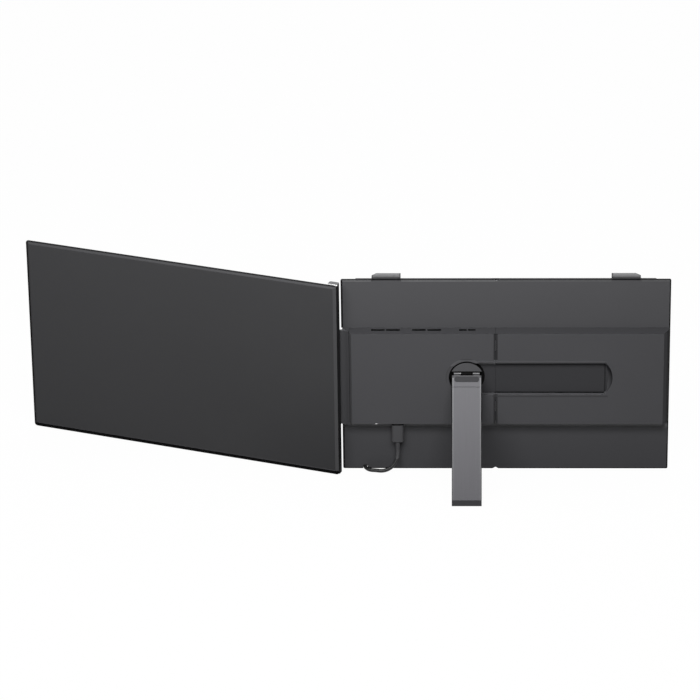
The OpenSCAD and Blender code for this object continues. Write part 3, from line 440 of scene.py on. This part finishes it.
def scoop_shade(at):
    """The scoop's shaded part: most at its rim and its top."""
    depth = (reach(at, SCOOP_X) - SCOOP_R2) * 0.0068 + (at.axis(2) * 1000 - MID_Z) * 0.045
    return scoop(at) * depth.clamp()


def pocket_floor(at):
    """The floor of the long pocket in which the leg lies."""
    return at.band(1, FLOOR_Y, 0)


def painted_light_under_lip(at):
    """The pocket floor's upper rim, from z 112.75 up, painted pale as painted light under the lip's
    shadow.
    """
    return pocket_floor(at) * (at.axis(2) * 800 - 90.2).clamp()


housing_plastic = moulded("housing_plastic", (0.064, 0.064, 0.068), (0.078, 0.078, 0.083), marks=[
    (ring, (0.060, 0.060, 0.063)),
    # a painted glint on the housing's lower edge, below the spare socket
    (lambda at: at.band(0, 31.8, 33.9) * at.band(2, 51.2, 52.1), (0.900, 0.900, 0.900)),
    # painted shade in the groove at the seam, painted light on the pocket's upper lip, then its floor
    (lambda at: at.band(1, -6.5, -6.05) * at.band(0, 145.8, 150.2), (0.036, 0.036, 0.038)),
    (lambda at: at.band(1, LIP_Y, -3) * at.band(2, 113.5, 120), (0.105, 0.105, 0.111)),
    (pocket_floor, (0.042, 0.042, 0.045)),
    (painted_light_under_lip, (0.200, 0.200, 0.208)),
    # a soft line of painted shade below the pocket, then the scoop and its painted shade
    (lambda at: at.band(2, 80.6, 82.2) * at.band(0, 145, 256), (0.051, 0.051, 0.054)),
    (scoop, (0.046, 0.046, 0.049)),
    (scoop_shade, (0.008, 0.008, 0.009)),
    # painted shade on the bevels at the left and the right end, darkest at their outer edges
    (lambda at: at.band(0, 7.6, 9.7), (0.052, 0.052, 0.055)),
    (lambda at: at.band(0, 309.3, 316), (0.056, 0.056, 0.060)),
    (lambda at: at.band(0, 312.2, 316), (0.030, 0.030, 0.032)),
    (lambda at: at.band(0, 313.8, 316), (0.008, 0.008, 0.009)),
    (well, (0.003, 0.003, 0.003))])


def vents(at):
    """The floors of the vent slots in the sloping strip, painted near black as shade."""
    return at.band(1, -3.43, -1.77) * sum(at.band(0, a - 0.03, b + 0.03) for a, b in VENTS)


strip_plastic = moulded("strip_plastic", (0.029, 0.029, 0.031), (0.038, 0.038, 0.041), 0.6,
                        marks=[(vents, (0.002, 0.002, 0.002))])
softened("left_housing", "left_cover", "bracket", housing_plastic, 0.25)
softened("right_housing", "right_cover", "right_half", housing_plastic, 0.25)
softened("left_vent_strip", "left_strip", "bracket", strip_plastic, 0.15)
softened("right_top_strip", "right_strip", "right_half", strip_plastic, 0.15)
softened("leg_tray", "leg_rest", "bracket",
         moulded("tray_plastic", (0.038, 0.038, 0.041), (0.047, 0.047, 0.050)), 0.2)


# ---- Rails, runners and fasteners ----
# Extruded aluminium T rails riveted to the slide plate, and acetal runners that wrap their heads.
# Screws and rivets are plain steel.

drawn_metal = finish(
    "drawn_metal", Metallic=1.0,
    Base_Color=lambda at: at.grow(20, 900, 900).noise(1, 4).blend(
        (0.42, 0.42, 0.44), (0.56, 0.56, 0.58)),
    Roughness=lambda at: 0.3 + at.grow(30, 1400, 1400).noise(1, 3) * 0.16,
    Normal=lambda at: at.grow(30, 2000, 2000).noise(1, 2).bump(0.08, 0.0001))
acetal = finish(
    "acetal",
    Base_Color=lambda at: at.noise(60, 3).blend((0.52, 0.52, 0.49), (0.60, 0.60, 0.57)),
    Roughness=lambda at: 0.36 + at.noise(500, 2) * 0.1,
    Normal=lambda at: at.noise(900, 2).bump(0.05, 0.0002))
bare_steel = finish(
    "bare_steel", Metallic=1.0,
    Base_Color=lambda at: at.noise(420, 3).blend((0.26, 0.26, 0.27), (0.38, 0.38, 0.39)),
    Roughness=lambda at: 0.34 + at.noise(900, 3) * 0.2,
    Normal=lambda at: at.noise(1600, 2).bump(0.08, 0.0001))
dress(drawn_metal, "upper_rail", "lower_rail")
dress(acetal, "upper_runner", "lower_runner")
dress(bare_steel, "rail_rivets", "bracket_screws", "left_housing_screws", "right_housing_screws",
      "spine_screws", "disc_washer", "disc_screw")


# ---- Circuit boards and sockets ----
# Green boards with dark chips soldered to them, joined by amber flat cables. The two USB-C sockets
# are drawn steel shells; a glint of the spare one's rim is painted on the housing's lower edge.

solder_mask = finish(
    "solder_mask",
    Base_Color=lambda at: (at.grow(600, 600, 600).noise(1, 1) > 0.56).blend(
        (0.010, 0.060, 0.030), (0.020, 0.110, 0.055)),
    Roughness=lambda at: 0.3 + at.noise(900, 2) * 0.15,
    Normal=lambda at: (at.noise(500, 1) > 0.55).bump(0.2, 0.0001))
amber_film = finish(
    "amber_film",
    Base_Color=lambda at: (at.grow(1500, 1, 1).noise(1, 0) > 0.5).blend(
        (0.32, 0.16, 0.03), (0.46, 0.25, 0.05)),
    Roughness=lambda at: 0.28 + at.noise(300, 2) * 0.1)
socket_steel = finish(
    "socket_steel", Metallic=1.0,
    Base_Color=lambda at: at.noise(700, 2).blend((0.56, 0.56, 0.58), (0.68, 0.68, 0.70)),
    Roughness=lambda at: 0.22 + at.noise(900, 2) * 0.12)
dress(solder_mask, "main_board", "port_board", "driver_board")
dress(amber_film, "board_flex", "display_ribbon")
dress(socket_steel, "usb_ports")


# ---- Screen hinge ----
# A pressed steel leaf under the housing carries a long knuckle and a steel pin. The screen's two
# arms turn on the pin, and a thin sloping plastic cover hides it.

def painted_light_over_pin(at):
    """How near a place is to the pin's side of the cover, from x 5 down to 0; there the cover is
    painted paler as painted light.
    """
    return (1 - (at.axis(0) * 1000 + MIDDLE[0]) * 0.2).clamp()


softened("hinge_cover", "hinge_shroud", "bracket", moulded(
    "shroud_plastic", (0.043, 0.043, 0.046), (0.054, 0.054, 0.057), 0.6,
    marks=[(painted_light_over_pin, (0.090, 0.090, 0.095))]), 0.25)
dark_steel = finish(
    "dark_steel", Metallic=1.0,
    Base_Color=lambda at: at.noise(300, 4).blend((0.07, 0.07, 0.074), (0.11, 0.11, 0.115)),
    Roughness=lambda at: 0.42 + at.noise(700, 3) * 0.16,
    Normal=lambda at: at.noise(1200, 2).bump(0.1, 0.0001))
softened("hinge_bracket", "hinge_leaf", "bracket", dark_steel, 0.3)
softened("hinge_arms", "hinge_eyes", "side_screen", dark_steel, 0.25)
dress(dark_steel, "hinge_pin")


# ---- Lid hooks ----
# Folded aluminium hooks, coated like the plates, that pull up out of thin channels and reach over
# the laptop's lid, with a rubber facing inside the lip.

HOOKS = (30.8, 56.2), (259.7, 285.1)  # the two hooks' faces, without their cut ends


def shaded_hook_root(at):
    """1 where the hook leaves the bracket, and 0 from 8.7 mm further on towards the lid; there the
    hook is painted dark as shade.
    """
    return (1.0 - (at.axis(1) * 1000 + MIDDLE[1]) * 0.115).clamp()


# painted light: the hooks' coat is a paler copy of the plates' coat, as lit from above; painted shade
# darkens where each hook leaves the bracket, and its cut ends
lit_hook_coat = powder_coat("lit_hook_coat", (0.118, 0.118, 0.122), (0.134, 0.134, 0.139), 0.45, marks=[
    (shaded_hook_root, (0.020, 0.020, 0.021)),
    (lambda at: 1 - at.band(0, *HOOKS[0]) - at.band(0, *HOOKS[1]), (0.020, 0.020, 0.021))])
guide_plastic = moulded("guide_plastic", (0.040, 0.040, 0.043), (0.050, 0.050, 0.053), 0.55)
for side, carrier in (("left", "bracket"), ("right", "right_half")):
    softened(side + "_hook", side + "_lid_hook", side + "_hook", lit_hook_coat, 0.8)
    softened(side + "_hook_pad", side + "_lip_pad", side + "_hook", soft_rubber, 0.2)
    softened(side + "_hook_guide", side + "_hook_cover", carrier, guide_plastic, 0.12)


# ---- Stand ----
# A moulded disc turns in the housing's well and holds the leg by a steel pin. The leg is a flat
# brushed and anodised aluminium bar with an oval inlay at its top and a rubber foot.

softened("stand_disc", "swivel_disc", "stand_disc", moulded(
    "disc_plastic", (0.081, 0.081, 0.085), (0.094, 0.094, 0.099), marks=[
        # painted shade, near black: all but the disc's face, and the part of the face behind the pin
        # and the leg
        (lambda at: at.band(1, -6.8, 9), (0.003, 0.003, 0.003)),
        (lambda at: at.band(2, 0, PIN_Z + 2.8), (0.002, 0.002, 0.002))]), 0.2)
LEG_FACE = DISC_X - 12.9, DISC_X + 12.7  # between its edges, which are painted bright as highlights
LEG_SIDES = DISC_X - 13.7, DISC_X + 13.5
LEG_END = 110
LEG_MARKS = [
    # painted shade under the leg's top, a painted highlight on its upper edge, and painted shade on
    # what lies above it in the disc
    (lambda at: at.band(2, 102.4, 105), (0.064, 0.064, 0.067)),
    (lambda at: at.band(2, PIN_Z + 0.3, LEG_END), (0.205, 0.205, 0.210)),
    (lambda at: at.band(2, PIN_Z + 1.0, LEG_END), (0.012, 0.012, 0.012))]


def anodised(name, dark, light):
    """Anodised aluminium, brushed along its length: fine streaks in colour, gloss and height. Its
    edges are painted bright as highlights, edges and face are painted paler with height as painted
    light, and its sides are painted dark as shade."""
    def colour(at):
        streaks = at.grow(2600, 24, 24).noise(1, 4, 0.65)
        face = (streaks * 0.4 + at.axis(2) * 5.7).blend(dark, light)
        lit_edges = (at.axis(2) * 9).blend((0.10, 0.10, 0.105), (0.20, 0.20, 0.206))
        face = marked(at, at.band(0, *LEG_FACE).blend(lit_edges, face), LEG_MARKS)
        return at.band(0, *LEG_SIDES).blend((0.016, 0.016, 0.017), face)
    return finish(
        name, Metallic=0.2, Specular_IOR_Level=0.1,
        Base_Color=colour,
        Roughness=lambda at: 0.44 + at.grow(2200, 30, 30).noise(1, 3) * 0.14,
        Normal=lambda at: at.grow(3000, 40, 40).noise(1, 2).bump(0.07, 0.0001))


leg_metal = anodised("leg_metal", (0.070, 0.069, 0.075), (0.116, 0.115, 0.123))
softened("leg_head", "leg_top", "stand_leg", leg_metal, 0.3)
softened("leg_plate", "leg_bar", "stand_leg", leg_metal, 0.4)
softened("leg_hinge_pad", "leg_inlay", "stand_leg",
         moulded("inlay_plastic", (0.038, 0.038, 0.041), (0.047, 0.047, 0.050)), 0.12)
softened("leg_foot", "rubber_foot", "stand_leg", finish(
    "foot_rubber",
    Base_Color=lambda at: at.noise(260, 4).blend((0.028, 0.028, 0.030), (0.036, 0.036, 0.038)),
    Roughness=lambda at: 0.65 + at.noise(600, 3) * 0.2, Specular_IOR_Level=0.05,
    Normal=lambda at: at.noise(1500, 4).bump(0.3, 0.0003)), 0.3)
# painted shade: the pin's top, above PIN_Z + 1, is near black inside the disc
dress(finish(
    "plated_pin", Metallic=0.3,
    Base_Color=lambda at: at.band(2, PIN_Z + 1.0, LEG_END).blend(
        at.noise(500, 3).blend((0.62, 0.62, 0.63), (0.72, 0.72, 0.73)), (0.012, 0.012, 0.012)),
    Roughness=lambda at: 0.3 + at.noise(900, 2) * 0.1), "leg_pin")


# ---- Side screen ----
# A shallow moulded tray with a sloping band round its back holds the picture cell, its light guide
# and its board, closed by a thin frame and a glass front.

TURN = math.radians(19.3)  # from the line of the bracket
PIN_X, PIN_Y = -3, 2.3  # the hinge's pin
EDGE, BACK = 5.17, 17.16  # from the pin to the screen's hinge edge and to its back face
SCREEN_W, SCREEN_H = 324.5, 202
CORNER_STEPS = 7
CREASE = math.radians(40)


def screen(u, v, z):
    """A place on the side screen: u from its hinge edge, v from its back face."""
    x, y = EDGE - u, v - BACK
    return P(PIN_X + x * math.cos(TURN) + y * math.sin(TURN),
             PIN_Y - x * math.sin(TURN) + y * math.cos(TURN), z)


def loop(u0, u1, z0, z1, v, near, far):
    """A rectangle with round corners at depth v; near and far are the radii at the two ends."""
    places = []
    for u, z, r, a0 in ((u1 - far, z1 - far, far, 0), (u0 + near, z1 - near, near, 90),
                        (u0 + near, z0 + near, near, 180), (u1 - far, z0 + far, far, 270)):
        for k in range(CORNER_STEPS + 1):
            a = math.radians(a0 + 90 * k / CORNER_STEPS)
            places.append(screen(u + r * math.cos(a), v, z + r * math.sin(a)))
    return places


def loft(name, loops, body, slot, material, *nodes):
    """A closed skin through a row of loops, with a face at each end."""
    bm = bmesh.new()
    rings = [[bm.verts.new(p) for p in places] for places in loops]
    for a, b in zip(rings, rings[1:]):
        for k in range(len(a)):
            j = (k + 1) % len(a)
            bm.faces.new((a[k], a[j], b[j], b[k]))
    bm.faces.new(rings[0][::-1])
    bm.faces.new(rings[-1])
    bmesh.ops.remove_doubles(bm, verts=bm.verts, dist=3e-6)
    bmesh.ops.recalc_face_normals(bm, faces=bm.faces)
    for face in bm.faces:
        face.smooth = True
    for e in bm.edges:
        e.smooth = not (len(e.link_faces) == 2 and e.calc_face_angle(0) > CREASE)
    mesh = bpy.data.meshes.new(name)
    bm.to_mesh(mesh)
    bm.free()
    mesh.materials.append(material)
    ob = link_up(name, mesh)
    level = ob.modifiers.new("flat faces", "WEIGHTED_NORMAL")
    level.keep_sharp, level.weight = True, 100
    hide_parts(*nodes)
    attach(ob, body)


def from_pin(at):
    """The place's x and y in millimetres from the hinge's pin."""
    return at.axis(0) * 1000 + (MIDDLE[0] - PIN_X), at.axis(1) * 1000 + (MIDDLE[1] - PIN_Y)


def inwards(at):
    """Millimetres from the side screen's hinge edge."""
    x, y = from_pin(at)
    return EDGE - x * math.cos(TURN) + y * math.sin(TURN)


def behind(at):
    """Millimetres from the side screen's back face."""
    x, y = from_pin(at)
    return BACK + x * math.sin(TURN) + y * math.cos(TURN)


def shaded_lower_corner(at):
    """How near a place is to the lower corner at the hinge, where the back is painted darker as shade.
    """
    return (1 - inwards(at) * 0.01).clamp() * (1 - at.axis(2) * 9).clamp()


COVER = (0.048, 0.048, 0.050), (0.058, 0.058, 0.060), 0.55
cover_plastic = moulded("cover_plastic", *COVER, gloss=0.02, marks=[
    # painted light: the back pales away from the hinge
    (lambda at: (inwards(at) * 0.003 - 0.3).clamp(), (0.063, 0.063, 0.066)),
    (shaded_lower_corner, (0.041, 0.041, 0.043)),
    # painted light on the sloping band beside the hinge, above the bottom and below the top
    (lambda at: (inwards(at) < 3.6) * at.band(2, 3.6, 198), (0.070, 0.070, 0.073)),
    (lambda at: at.band(2, 4.2, 5.2), (0.062, 0.062, 0.065)),
    (lambda at: at.band(2, 198.8, 200.7), (0.068, 0.068, 0.071)),
    # painted shade on the side all round: the top, the bottom and both ends
    (lambda at: at.band(2, 200.7, 203), (0.020, 0.020, 0.021)),
    (lambda at: at.band(2, -1, 4.2), (0.001, 0.001, 0.001)),
    (lambda at: (inwards(at) < 0.5) + (inwards(at) > 322.3), (0.010, 0.010, 0.010))])
spine_plastic = moulded("spine_plastic", *COVER, gloss=0.02, marks=[
    # painted shade on its side at the hinge, painted light on its top, and a painted highlight on the
    # corner of its top beside the cover
    (lambda at: inwards(at) < 1.5, (0.016, 0.016, 0.017)),
    (lambda at: at.band(2, 201.5, 203), (0.110, 0.110, 0.113)),
    (lambda at: at.band(2, 201.0, 203) * (behind(at) < 3.7), (0.700, 0.700, 0.700))])


def tray(inset, v, near_u=None, r=3.0, near_r=None):
    """A loop inset from the screen's outline; beside the hinge it may begin further in."""
    u0 = inset if near_u is None else near_u
    near_r = r if near_r is None else near_r
    return loop(u0, SCREEN_W - inset, inset, SCREEN_H - inset, v, near_r, r)


# the back's sloping band, its side, the step for the spine, the rim and the hollow inside
loft("screen_shell", [
    tray(3.9, 0.0, r=1.5), tray(3.5, 0.02, r=1.6), tray(3.05, 0.16, r=1.8), tray(0.5, 1.2, r=2.9),
    tray(0.12, 1.38), tray(0.0, 1.6), tray(0.0, 1.85), tray(0.1, 2.0), tray(0.54, 2.8),
    tray(0.54, 2.8, 10.2, 3, 0.3), tray(2.6, 6.25, 10.2, 3, 0.3), tray(2.75, 6.4, 10.35, 3, 0.3),
    tray(5, 6.4, 12, 1, 0.5), tray(5, 1.3, 12, 1, 0.5)],
    "side_screen", "screen_cover", cover_plastic, "screen_back_cover")
softened("screen_spine", "screen_hinge_bar", "side_screen", spine_plastic, 0.3)
softened("screen_front_frame", "screen_bezel", "side_screen",
         moulded("bezel_plastic", (0.014, 0.014, 0.015), (0.020, 0.020, 0.021)), 0.2)
softened("display_glass", "screen_glass", "side_screen", finish(
    "front_glass",
    Base_Color=lambda at: at.noise(20, 2).blend((0.006, 0.006, 0.007), (0.009, 0.009, 0.011)),
    Roughness=lambda at: 0.16 + at.noise(1200, 2) * 0.06,
    Coat_Weight=0.4, Coat_Roughness=0.1), 0.15)
dress(finish(
    "cell_black",
    Base_Color=lambda at: at.noise(40, 2).blend((0.010, 0.010, 0.013), (0.016, 0.016, 0.020)),
    Roughness=lambda at: 0.3 + at.noise(500, 2) * 0.1), "display_panel")
dress(drawn_metal, "backlight_plate")


# ---- Plugs ----
# Each end of the cable has a moulded grip, a ribbed sleeve that saves the cable from kinking, and a
# thin drawn steel shell. A strap ties the spare turns.

def in_socket(at):
    """The grip's upper end, in the shade of the housing."""
    return at.band(2, 49.4, 60)


grip_plastic = moulded("grip_plastic", (0.064, 0.064, 0.068), (0.078, 0.078, 0.082), 0.45,
                       marks=[(in_socket, (0.006, 0.006, 0.006))])
softened("cable_plug", "plug_grip", "bracket", grip_plastic, 0.1)
softened("cable_end_plug", "end_plug_grip", "bracket", grip_plastic, 0.1)
softened("cable_relief", "plug_sleeve", "bracket", grip_plastic, 0.2)
softened("cable_end_relief", "end_plug_sleeve", "bracket", grip_plastic, 0.2)
softened("cable_tie", "cable_strap", "bracket", soft_rubber, 0.1)
